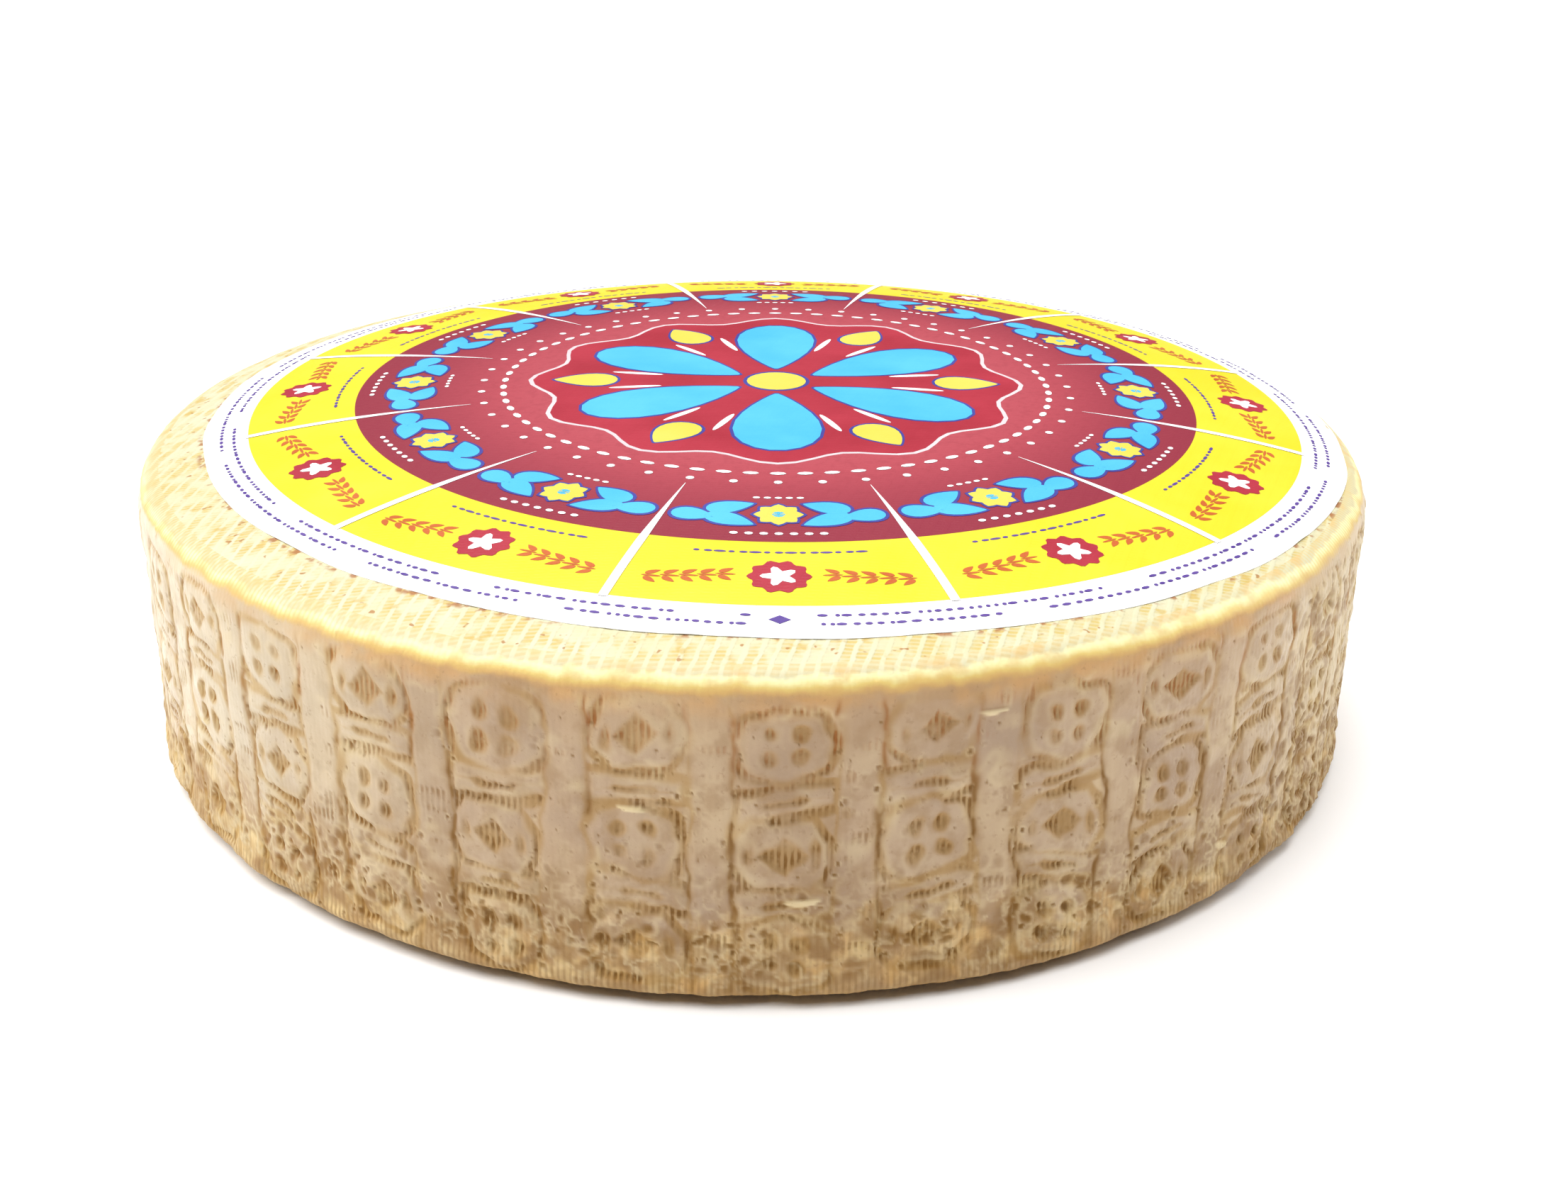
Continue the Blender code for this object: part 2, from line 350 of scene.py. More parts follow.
def cloth_marks(points):
    """Depth, from 0 to 1, of the marks that the cloth in the mould left: broad stripes of short dashes."""
    bent = points[:, 0] * (1 + CLOTH_BEND * points[:, 1])
    across = (bent + CLOTH_SLANT * points[:, 1]) / CLOTH_PITCH
    across += 0.3 * (mottle(points, 0.006, 117) - 0.5)
    along = points[:, 1] / CLOTH_ROW
    column = rise(np.cos(FULL_TURN * across), -0.85, -0.05)
    row = rise(np.cos(FULL_TURN * along), -0.6, 0.5)
    return column * (0.6 + 0.4 * row)


def wear(azimuth):
    """Where round the wheel the coat is pitted and worn: mostly towards the right and behind."""
    turn = bearing(azimuth)
    right = rise(turn, 40, 56) * rise(turn, 104, 84)
    behind = 0.55 * rise(turn, 138, 150) * rise(turn, 172, 160)
    left = 0.3 * rise(turn, -47, -54) * rise(turn, -92, -75)
    return most(right, behind, left)


def coat_cover(points, azimuth, height):
    """How thickly the side is coated: fully in the upper part, thin and torn near the foot."""
    ragged = grain(points, 0.012, 31) - 0.5
    frayed = grain(points, 0.003, 33) - 0.5
    edge = 0.0155 + 0.018 * ragged + 0.010 * frayed + 0.0025 * np.sin(5 * azimuth + 0.6)
    return rise(height, edge - 0.0040, edge + 0.0045) * (1 - 0.5 * wear(azimuth))


def pallor_and_side_light(azimuth, height):
    """Where round the wheel the side is painted pale: partly a whitish coat and partly painted light from the
    sides, on the left, and higher up on the far right.
    """
    turn = bearing(azimuth)
    left = rise(turn, -12, -56) * rise(turn, -150, -110)
    right = 0.95 * rise(turn, 36, 66) * rise(turn, 130, 100) * (0.45 + 0.55 * rise(height, 0.018, 0.042))
    return left + right


def flakes(azimuth, height):
    """The few places where the coat has torn into a small pale flap."""
    turn = bearing(azimuth)
    total = np.zeros_like(turn)
    for middle, level, half_width, half_height, slope in FLAKES:
        across = (turn - middle) / half_width
        sag = 0.5 * half_height * (1 - across ** 2)
        up = (height / MM - level - slope * across + sag) / half_height
        total = np.maximum(total, rise(np.hypot(across, up), 1.0, 0.6))
    return total


def side_surface(points, azimuth, height):
    """Relief in metres and the colour masks of the moulded side."""
    coat = coat_cover(points, azimuth, height)
    worn = wear(azimuth)
    bare = 1 - coat
    patchy = grain(points, 0.008, 41) - 0.5
    thick = np.clip(coat * (0.1 + 0.5 * rise(height, 0.036, 0.058) + 1.9 * patchy), 0, 1)

    # The mould's pattern, in mm, bent as the rind dried
    aside = 3.2 * (grain(points, 0.009, 43) - 0.5) + 1.4 * (mottle(points, 0.022, 46) - 0.5)
    above = 3.8 * (grain(points, 0.009, 44) - 0.5) + 2.0 * (mottle(points, 0.022, 48) - 0.5)
    aside += 0.7 * (mottle(points, 0.0021, 56) - 0.5)
    above += 0.7 * (mottle(points, 0.0021, 57) - 0.5)
    inside, hole, gutter = side_pattern(azimuth + aside * MM / SIDE_RADIUS, height + above * MM)
    slab = rise(inside, -0.35, 1.5)
    opening = rise(hole, -0.6, 0.5) * rise(inside, 0.0, 0.8)
    web = rise(inside, -1.1, -2.0) * rise(gutter, 0.6, -0.2)
    strip = rise(gutter, -0.1, 1.5)
    channel = rise(inside, -1.9, -1.0) * rise(inside, 0.35, -0.35) * rise(gutter, 0.4, -0.3)
    channel *= patches(points, 0.0055, 45, 0.3, 0.56)

    # Seams along the gutters, broken and uneven
    width = 0.28 + 0.5 * mottle(points, 0.004, 49)
    wander = gutter - 0.1 - 0.8 * (mottle(points, 0.006, 50) - 0.5)
    seam_share = patches(points * (1, 1, 0.7), 0.0036, 47, 0.36, 0.58) * patches(points, 0.012, 51, 0.25, 0.5)
    seam = bell(wander, 0, width) * seam_share * (0.35 + 0.65 * rise(height, 0.008, 0.018))
    marks = rise(np.abs(gutter - 4.0), 3.4, 2.2) * patches(points * (1, 1, 2.2), 0.0055, 54, 0.70, 0.82)
    recess = most(channel, opening, 0.6 * marks)

    # The relief in mm: slabs and strips, recesses, the thick coat, swells and fine ribs
    open_share = most(recess, 0.4 * seam, 0.1 * bell(gutter, 0, 0.8))
    level = most(0.52 * slab, 0.42 * strip, 0.36 * (1 - open_share))
    level += 0.16 * rise(inside, 0.6, 4.5)
    level *= 1 - 0.75 * opening
    recess = recess * (0.35 + 0.65 * patches(points, 0.0021, 58, 0.25, 0.55))
    relief = level * (1 - 0.4 * thick) + 0.28 * thick
    relief -= 0.16 * np.maximum(recess, 0.6 * seam) * (1 - 0.6 * thick)
    relief += 0.9 * (grain(points, 0.010, 53) - 0.5)
    relief += FOOT_FLARE * bell(height, 0.0035, 0.0042)
    relief += (grain(points, 0.0032, 59) - 0.5) * (0.2 + 0.5 * bare + 0.3 * worn)
    ribs = np.cos(RIB_COUNT * (azimuth - FIRST_COLUMN))
    hem = rise(height, 0.0075, 0.0035)
    rib_show = most(recess * (1 - 0.5 * thick), 0.14 * bare, 0.45 * hem)
    rib_show *= 0.4 + 0.6 * patches(points, 0.005, 61, 0.25, 0.6)
    relief += 0.09 * ribs * rib_show

    # Pits: small ones beside the ornaments, torn ones near the foot, coarse ones where it is worn
    frayed = 1.5 * MM / SIDE_RADIUS * (mottle(points, 0.0018, 63) - 0.5)
    ragged = 1.5 * MM * (mottle(points, 0.0018, 64) - 0.5)
    few = pits(azimuth + 0.5 * frayed, height + 0.5 * ragged, *FEW_PITS)
    many = pits(azimuth + frayed, height + ragged, *MANY_PITS)
    coarse = pits(azimuth + 1.4 * frayed, height + 1.4 * ragged, *COARSE_PITS)
    bubbles = pits(azimuth, height, *BUBBLES)
    crowd = rise(height, 0.005, 0.010) * rise(height, 0.034, 0.015) * patches(points, 0.007, 85, 0.3, 0.6)
    corroded = worn * patches(points, 0.009, 89, 0.22, 0.5) * (0.6 + 0.4 * rise(height, 0.045, 0.02))
    sparse = rise(height, 0.066, 0.030) * (0.4 + 0.6 * patches(points, 0.010, 87, 0.45, 0.6))
    beside = bell(inside, -0.2, 1.3) + bell(gutter, 0, 1.6)
    spotty = np.clip(sparse * (0.4 + 1.2 * beside), 0, 1) * patches(points, 0.0065, 88, 0.34, 0.54)
    pit = most(hollow(few) * spotty, 0.9 * hollow(many) * crowd, hollow(coarse) * corroded,
               0.8 * hollow(bubbles) * coat)
    relief -= 0.2 * pit + 0.3 * hollow(coarse) * corroded

    # Stains, and the soil beside the pattern's edges
    low = rise(height, 0.029, 0.013) * (0.25 + 0.75 * rise(height, 0.002, 0.008))
    stained = grain(points * (1, 1, 1.4), 0.0062, 101)
    belt = bell(height - 0.008 * patchy, 0.0155, 0.0030)
    stain = rise(stained + 0.11 * belt, 0.5, 0.66) * low * (0.6 + 0.4 * bare)
    stain = np.maximum(stain, (0.75 + 0.2 * low) * rise(stained + 0.05 * low, 0.46, 0.6) * worn)
    soil = most(rise(inside, 1.1, -0.6) * (1 - web) * (1 - strip), rise(hole, -1.4, 0.2) * slab,
                (0.15 + 0.5 * seam_share) * bell(wander, 0, 1.1))
    soil = np.clip(soil, 0, 1) * (1 - 0.5 * thick) * (0.55 + 0.45 * patches(points, 0.006, 124, 0.3, 0.6))

    # Pale lips: on edges and brims, where the coat is torn or folded, and in a net near the foot
    netting = grain(points * (1, 1, 1.2), 0.0034, 121)
    net = bell(netting, 0.5, 0.05) * np.maximum(low * patches(points, 0.006, 122, 0.25, 0.55), 0.9 * worn)
    lip = 0.7 * bell(inside, 0.5, 0.6) + 0.6 * bell(hole, -0.9, 0.5) * slab
    lip *= patches(points, 0.005, 103, 0.4, 0.75) * (0.5 + 0.5 * bare)
    torn_edge = bell(coat, 0.5, 0.25) * patches(points, 0.005, 107, 0.4, 0.7)
    wrinkle = bell(thick, 0.45, 0.12) * patches(points, 0.006, 126, 0.42, 0.7)
    wrinkle *= 1 - rise(inside, 0.5, 2.5) * rise(hole, -3.6, -1.8)
    lip = most(lip, 0.7 * brim(many) * crowd, brim(coarse) * corroded, 0.6 * brim(few) * spotty,
               0.7 * torn_edge, net, 0.6 * wrinkle)
    flake = flakes(azimuth, height)
    relief += 0.12 * lip + 0.35 * flake
    # Pale places, partly a whitish coat and partly painted light from the sides; the lips are painted lighter
    # there too
    pale_coat_and_side_light = pallor_and_side_light(azimuth, height) * (0.76 + 0.6 * (grain(points, 0.012, 109) - 0.4))
    masks = {
        "recess": recess * (1 - 0.55 * thick) * (1 - flake),
        "seam": seam * (1 - 0.4 * thick),
        "coat": coat,
        "thick": thick,
        "raised": np.maximum(slab * (1 - opening), 0.6 * strip),
        "soil": soil,
        "pit": np.clip(pit, 0, 1) * (1 - flake),
        "stain": np.clip(stain, 0, 1),
        "lip": np.clip(np.maximum(lip * (1 + 0.8 * pale_coat_and_side_light), 1.8 * flake), 0, 1.8),
        "pale": pale_coat_and_side_light,
    }
    return relief * MM, masks


def rind_surface(points):
    """Relief and masks of any place on the wheel, before it settled."""
    azimuth = np.arctan2(points[:, 0], -points[:, 1])
    radius = np.hypot(points[:, 0], points[:, 1])
    height = points[:, 2]
    relief, masks = side_surface(points, azimuth, height)
    side_share = rise(height, 0.0013, 0.0040) * rise(height, SHOULDER_HEIGHT + 0.0016, 0.0598)
    side_share *= radius > SHOULDER_CENTRE - FOOT_RADIUS
    flat_share = rise(radius, 0.1362, 0.1335)
    cloth = cloth_marks(points) * rise(grain(points, 0.008, 113), 0.3, 0.55)
    beside_label = rise(radius, 0.1235, 0.1265)
    top_relief = -0.06 * cloth * flat_share + 0.35 * beside_label * (grain(points, 0.009, 127) - 0.5)
    rim_turn = np.arctan2(height - SHOULDER_HEIGHT, np.maximum(radius - SHOULDER_CENTRE, 1e-6))
    ridge = bell(np.degrees(rim_turn), 24, 13) * (height > 0.05)
    crumbs = hollow(pits(azimuth, height, *RIM_CRUMBS)) * ridge * patches(points, 0.02, 137, 0.5, 0.75)
    top_relief += 0.12 * ridge * mottle(points, 0.004, 139) + 0.3 * crumbs
    top_relief *= radius > 0.02
    relief = relief * side_share + top_relief * MM * (1 - side_share)
    for name in ("recess", "seam", "pit", "stain", "raised", "soil", "lip"):
        masks[name] = masks[name] * side_share
    return relief, masks


def outward(points):
    """Unit normals of the plain wheel."""
    radius = np.hypot(points[:, 0], points[:, 1])
    height = points[:, 2]
    up = np.zeros_like(height)
    out = np.ones_like(height)
    shoulder = (height > SHOULDER_HEIGHT) & (radius > CROWN_EDGE - 1e-6)
    out[shoulder] = np.clip(radius[shoulder] - SHOULDER_CENTRE, 0, None)
    up[shoulder] = height[shoulder] - SHOULDER_HEIGHT
    top = (height > 0.05) & (radius < CROWN_EDGE - 1e-6)
    out[top] = CROWN_HEIGHT * CROWN_POWER * (radius[top] / CROWN_RADIUS) ** (CROWN_POWER - 1) / CROWN_RADIUS
    up[top] = 1.0
    foot = (height < FOOT_LIFT + FOOT_RADIUS) & (radius > SIDE_RADIUS - FOOT_RADIUS)
    out[foot] = radius[foot] - SIDE_RADIUS + FOOT_RADIUS
    up[foot] = height[foot] - FOOT_RADIUS - FOOT_LIFT
    base = (height < FOOT_LIFT + 1e-6) & (radius <= SIDE_RADIUS - FOOT_RADIUS + 1e-6)
    out[base] = 0.0
    up[base] = -1.0
    length = np.hypot(out, up)
    safe = np.maximum(radius, 1e-9)
    return np.stack([points[:, 0] / safe * out / length, points[:, 1] / safe * out / length, up / length], -1)


def settle(points):
    """Move places of the ideal wheel to where they lie on the real, slightly uneven one."""
    azimuth = np.arctan2(points[:, 0], -points[:, 1])
    reach = np.hypot(points[:, 0], points[:, 1]) / SIDE_RADIUS
    stretch = 1 + SIDE_UNEVENNESS * waves(azimuth, SIDE_WAVES) / SIDE_RADIUS
    lift = RIM_UNEVENNESS * waves(azimuth, RIM_WAVES) * reach ** 2 * points[:, 2] / RIM_HEIGHT
    return np.stack([points[:, 0] * stretch, points[:, 1] * stretch, points[:, 2] + lift], -1)


# ---- Meshes ----

def read_places(mesh):
    places = np.empty(len(mesh.vertices) * 3)
    mesh.vertices.foreach_get("co", places)
    return places.reshape(-1, 3)


def write_places(mesh, places):
    mesh.vertices.foreach_set("co", np.ascontiguousarray(places, dtype=np.float32).ravel())
    mesh.update()


def make_piece(name, shape, finish):
    """Turn a bmesh into a smooth object with its finish."""
    mesh = bpy.data.meshes.new(name)
    shape.to_mesh(mesh)
    shape.free()
    piece = bpy.data.objects.new(name, mesh)
    bpy.context.scene.collection.objects.link(piece)
    mesh.materials.append(finish)
    mesh.shade_smooth()
    return piece


def spun_shape(profile, start, angle, steps, repeats):
    """Spin a half section, given as (radius, height) pairs from top to bottom, about the axis.

    The section is spun over one part of the angle, and that part is copied to fill the rest.
    """
    shape = bmesh.new()
    corners = [shape.verts.new((radius * math.sin(start), -radius * math.cos(start), height))
               for radius, height in profile]
    edges = [shape.edges.new(pair) for pair in zip(corners, corners[1:])]
    part = angle / repeats
    bmesh.ops.spin(shape, geom=corners + edges, cent=(0, 0, 0), axis=(0, 0, 1), dvec=(0, 0, 0), angle=part,
                   steps=steps // repeats, use_merge=False, use_duplicate=False)
    first = shape.verts[:] + shape.edges[:] + shape.faces[:]
    for number in range(1, repeats):
        copied = bmesh.ops.duplicate(shape, geom=first)["geom"]
        places = [item for item in copied if isinstance(item, bmesh.types.BMVert)]
        bmesh.ops.rotate(shape, verts=places, cent=(0, 0, 0), matrix=Matrix.Rotation(part * number, 3, "Z"))
    bmesh.ops.remove_doubles(shape, verts=shape.verts, dist=2e-6)
    shape.normal_update()
    widest = max(shape.faces, key=lambda face: face.calc_area())
    if widest.normal.dot(widest.calc_center_median() - Vector((0, 0, RIM_HEIGHT / 2))) < 0:
        bmesh.ops.reverse_faces(shape, faces=shape.faces)
    return shape


def even_steps(low, high, count):
    return [low + (high - low) * step / count for step in range(count + 1)]


def shoulder_profile():
    return [(SHOULDER_CENTRE + SHOULDER_RADIUS * math.cos(angle),
             SHOULDER_HEIGHT + SHOULDER_RADIUS * math.sin(angle))
            for angle in even_steps(SHOULDER_START, 0, SHOULDER_STEPS)]


def foot_profile():
    return [(SIDE_RADIUS - FOOT_RADIUS * (1 - math.cos(angle)),
             FOOT_LIFT + FOOT_RADIUS * (1 - math.sin(angle)))
            for angle in even_steps(0, math.pi / 2, FOOT_STEPS)]


def base_profile():
    """The base lies flat in the middle and rises a little towards its edge."""
    edge = SIDE_RADIUS - FOOT_RADIUS
    full = rise(edge, BASE_RADIUS, edge + 0.004)
    risen = [(radius, FOOT_LIFT * float(rise(radius, BASE_RADIUS, edge + 0.004) / full))
             for radius in even_steps(edge, BASE_RADIUS, BASE_STEPS)]
    return risen + [(radius, 0.0) for radius in (0.10, 0.08, 0.04, 0.0)]


def rind_piece(name, profile, start, columns, finish):
    """Spin a piece of the rind over a number of columns and give it its relief and masks."""
    shape = spun_shape(profile, start, columns * COLUMN_ANGLE, columns * STEPS_PER_COLUMN, columns)
    piece = make_piece(name, shape, finish)
    points = read_places(piece.data)
    relief, masks = rind_surface(points)
    write_places(piece.data, settle(points + outward(points) * relief[:, None]))
    for mask, values in masks.items():
        kept = piece.data.attributes.new(mask, "FLOAT", "POINT")
        kept.data.foreach_set("value", values.astype(np.float32))
    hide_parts("cheese_wheel")
    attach(piece, "root")


# ---- Finishes ----

def tone_under(light):
    """A function that turns steps of 0 to 255, as the photograph shows a place, into a linear colour."""
    def tone(*steps):
        parts = [value / 255 for value in steps]
        linear = [part / 12.92 if part <= 0.04045 else ((part + 0.055) / 1.055) ** 2.4 for part in parts]
        return (*[min(part / share, 0.93) for part, share in zip(linear, light)], 1.0)
    return tone


side_tone = tone_under(SIDE_LIGHT)
rim_tone = tone_under(RIM_LIGHT)
top_tone = tone_under(TOP_LIGHT)
ink_tone = tone_under(LABEL_LIGHT)


class Finish:
    """A material whose nodes are laid out by short calls."""

    def __init__(self, name, roughness, specular):
        self.material = bpy.data.materials.new(name)
        self.material.use_nodes = True
        self.nodes = self.material.node_tree.nodes
        self.links = self.material.node_tree.links
        self.shader = self.nodes["Principled BSDF"]
        self.set("Roughness", roughness)
        self.set("Specular IOR Level", specular)
        self.place = self.nodes.new("ShaderNodeTexCoord").outputs["Object"]

    def node(self, kind, inputs, **settings):
        made = self.nodes.new("ShaderNode" + kind)
        for name, value in settings.items():
            setattr(made, name, value)
        for key, value in inputs.items():
            self.feed(made.inputs[key], value)
        return made

    def feed(self, socket, value):
        if isinstance(value, bpy.types.NodeSocket):
            self.links.new(value, socket)
        else:
            socket.default_value = value

    def set(self, socket, value):
        self.feed(self.shader.inputs[socket], value)

    def maths(self, operation, first, second=0.0, clamp=False):
        return self.node("Math", {0: first, 1: second}, operation=operation, use_clamp=clamp).outputs[0]

    def plus(self, first, second):
        return self.maths("ADD", first, second)

    def less(self, first, second):
        return self.maths("SUBTRACT", first, second)

    def times(self, first, second):
        return self.maths("MULTIPLY", first, second)

    def most(self, first, *others):
        for other in others:
            first = self.maths("MAXIMUM", first, other)
        return first

    def mask(self, name):
        return self.node("Attribute", {}, attribute_name=name).outputs["Fac"]

    def axis(self, name):
        return self.node("SeparateXYZ", {0: self.place}).outputs[name]

    def noise(self, size, detail=2.0, roughness=0.5, stretch=(1, 1, 1)):
        place = self.node("Mapping", {"Vector": self.place, "Scale": stretch}).outputs[0]
        inputs = {"Vector": place, "Scale": 1 / size, "Detail": detail, "Roughness": roughness}
        return self.node("TexNoise", inputs).outputs["Fac"]

    def sway(self, size, detail, amount):
        """Noise on both sides of zero."""
        return self.times(self.less(self.noise(size, detail), 0.5), amount)

    def step(self, value, low, high, bottom=0.0, top=1.0):
        inputs = {"Value": value, "From Min": low, "From Max": high, "To Min": bottom, "To Max": top}
        made = self.node("MapRange", inputs, interpolation_type="SMOOTHSTEP", clamp=True)
        return made.outputs["Result"]

    def clouds(self, size, detail, low, high, bottom, top):
        """Soft-edged patches of noise."""
        return self.step(self.noise(size, detail), low, high, bottom, top)

    def ramp(self, value, *stops):
        made = self.node("ValToRGB", {"Fac": value})
        elements = made.color_ramp.elements
        while len(elements) < len(stops):
            elements.new(1.0)
        for element, (position, colour) in zip(elements, stops):
            element.position = position
            element.color = colour
        return made.outputs["Color"]

    def blend(self, share, first, second):
        made = self.node("Mix", {}, data_type="RGBA", blend_type="MIX")
        self.feed(made.inputs[0], share)
        self.feed(made.inputs[6], first)
        self.feed(made.inputs[7], second)
        return made.outputs[2]

    def paint(self, colour, *layers):
        """Lay colours over one another, each by its share."""
        for share, shade in layers:
            colour = self.blend(share, colour, shade)
        return colour

    def bump(self, height, distance, strength, below=None):
        inputs = {"Height": height, "Distance": distance, "Strength": strength}
        if below is not None:
            inputs["Normal"] = below
        return self.node("Bump", inputs).outputs["Normal"]


def rib_wave(finish):
    """The fine ribs round the side as a wave between -1 and 1, slightly uneven."""
    azimuth = finish.maths("ARCTAN2", finish.axis("X"), finish.times(finish.axis("Y"), -1.0))
    turned = finish.times(finish.less(azimuth, FIRST_COLUMN), RIB_COUNT)
    return finish.maths("COSINE", finish.plus(turned, finish.times(finish.noise(0.004), 1.2)))


def cloth_wave(finish):
    """The cloth's marks as a mask between 0 and 1, as the relief has them."""
    bent = finish.times(finish.axis("X"), finish.plus(finish.times(finish.axis("Y"), CLOTH_BEND), 1.0))
    slanted = finish.plus(bent, finish.times(finish.axis("Y"), CLOTH_SLANT))
    across = finish.times(slanted, FULL_TURN / CLOTH_PITCH)
    along = finish.times(finish.axis("Y"), FULL_TURN / CLOTH_ROW)
    sway = finish.sway(0.003, 2.0, 2.4)
    column = finish.step(finish.maths("COSINE", finish.plus(across, sway)), -0.85, -0.05)
    row = finish.step(finish.maths("COSINE", finish.plus(along, sway)), -0.6, 0.5, 0.5, 1.0)
    return finish.times(column, row)


def rind_colour(finish, ribs, small):
    """The side's colours up to the rim: the coat, the bare rind near the foot, dirt, lines and pits, with
    painted shade just above the floor and painted side light in the pale places.
    """
    height = finish.axis("Z")
    coat = finish.mask("coat")
    # pale is partly a whitish coat and partly painted light from the sides
    pale = finish.mask("pale")
    low = finish.step(height, 0.036, 0.020)

    broad = finish.noise(0.028, 3.0)
    coated = finish.ramp(broad, (0.36, side_tone(208, 178, 138)), (0.5, side_tone(192, 160, 126)),
                         (0.62, side_tone(168, 138, 110)))
    coated = finish.paint(
        coated,
        (finish.step(small, 0.5, 0.72, 0.0, 0.45), side_tone(212, 186, 148)),
        (finish.times(finish.mask("raised"), 0.5), side_tone(182, 154, 131)))
    bare = finish.ramp(small, (0.34, side_tone(188, 148, 96)), (0.48, side_tone(210, 172, 118)),
                       (0.62, side_tone(230, 198, 144)))
    bare = finish.blend(finish.clouds(0.007, 3.0, 0.48, 0.62, 0.0, 0.6), bare, side_tone(214, 164, 96))

    cloudy = finish.clouds(0.0055, 3.0, 0.46, 0.66, 0.0, 0.55)
    dusky = finish.clouds(0.015, 2.0, 0.5, 0.66, 0.0, 0.4)
    upper = finish.step(height, 0.050, 0.0605, 0.0, 0.35)
    risen = finish.step(height, 0.008, 0.028)
    # The pale tones, laid where the side is partly painted as lit from the sides
    whitish = finish.blend(risen, side_tone(233, 207, 154), side_tone(235, 222, 194))
    tan_share = finish.clouds(0.009, 3.0, 0.36, 0.62, 0.1, 0.8)
    below_rim = finish.times(finish.step(height, 0.0572, 0.0622), tan_share)
    below_rim = finish.times(below_rim, finish.step(pale, 0.0, 0.9, 1.0, 0.25))
    blotched = finish.times(finish.clouds(0.0046, 2.0, 0.5, 0.64, 0.0, 0.45), low)
    clouded = finish.times(finish.clouds(0.013, 2.0, 0.5, 0.62, 0.0, 0.66), low)
    shades = {name: finish.blend(pale, side_tone(*tan), side_tone(*white))
              for name, (tan, white) in TWO_TONES.items()}
    colour = finish.paint(
        finish.blend(coat, bare, coated),
        (cloudy, side_tone(160, 124, 84)),
        (dusky, side_tone(166, 132, 98)),
        (upper, side_tone(184, 146, 106)),
        (finish.times(pale, 0.72), whitish),
        (below_rim, side_tone(210, 160, 104)),
        (finish.most(blotched, clouded), shades["blotch"]),
        (finish.times(finish.mask("soil"), 0.64), shades["soil"]),
        (finish.times(finish.mask("stain"), 0.75), shades["stain"]),
        (finish.maths("MULTIPLY", finish.mask("lip"), 0.6, True), shades["lip"]))

    patch = finish.clouds(0.0028, 2.0, 0.38, 0.6, 0.2, 0.95)
    valley = finish.step(finish.plus(ribs, finish.sway(0.0024, 1.0, 2.4)), 0.85, -0.6)
    lines = finish.times(finish.times(finish.mask("recess"), valley), patch)
    rust = finish.step(height, 0.040, 0.056)
    line = finish.blend(rust, side_tone(128, 86, 36), side_tone(158, 94, 42))
    line = finish.blend(finish.times(pale, 0.75), line, side_tone(176, 124, 58))
    beads = finish.step(finish.noise(0.0022, 1.0, 0.5, (1, 1, 0.6)), 0.34, 0.54, 0.3, 0.9)
    bare_share = finish.times(finish.less(1.0, coat), patch)
    hem = finish.step(height, 0.0095, 0.0040, 0.0, 0.8)
    rib_share = finish.most(finish.times(bare_share, 0.45), hem)
    rib_share = finish.times(finish.step(ribs, 0.4, -0.9, 0.0, 0.5), rib_share)
    speck = finish.step(finish.noise(0.0012, 2.0, 0.6), 0.62, 0.72, 0.0, 0.3)
    # Painted shade: the foot is tinted a darker golden brown just above the floor
    painted_floor_shade = finish.step(height, 0.0045, 0.0025, 0.0, 0.35)
    return finish.paint(
        colour,
        (lines, line),
        (finish.times(finish.mask("seam"), beads), line),
        (rib_share, side_tone(142, 100, 52)),
        (finish.times(finish.mask("pit"), 0.85), shades["pit"]),
        (speck, side_tone(150, 112, 70)),
        (painted_floor_shade, side_tone(200, 160, 100)))


def rim_colour(finish, ribs):
    """The share and the colours of the rim: from tan through yellow to the top's cream."""
    height = finish.axis("Z")
    # pale is partly a whitish coat and partly painted light from the sides; it moves, fades and ribs the band
    pale = finish.mask("pale")
    level = finish.plus(height, finish.plus(finish.sway(0.005, 3.0, 0.0024), finish.sway(0.03, 2.0, 0.0012)))
    above = finish.plus(finish.times(finish.less(level, RIM_LINE), RIM_RISE), finish.times(pale, 0.22))
    band = finish.ramp(above, (0.0, rim_tone(208, 164, 112)), (0.18, rim_tone(222, 176, 112)),
                       (0.41, rim_tone(238, 206, 124)), (0.60, rim_tone(248, 233, 168)),
                       (0.76, rim_tone(253, 244, 190)), (0.90, top_tone(255, 250, 208)))
    faded = finish.times(finish.step(above, 0.55, 0.1), finish.step(pale, 0.1, 0.8, 0.0, 0.6))
    ribbed = finish.times(finish.step(ribs, 0.3, -0.8), finish.step(pale, 0.0, 0.7, 0.04, 0.5))
    dashes = finish.times(cloth_wave(finish), finish.step(height, 0.0652, 0.0662, 0.0, 0.6))
    band = finish.paint(
        band,
        (faded, rim_tone(228, 204, 156)),
        (ribbed, rim_tone(228, 190, 112)),
        (dashes, top_tone(244, 213, 136)),
        (finish.clouds(0.006, 3.0, 0.48, 0.66, 0.0, 0.5), rim_tone(226, 180, 108)))
    return finish.step(level, 0.0622, 0.0634), band


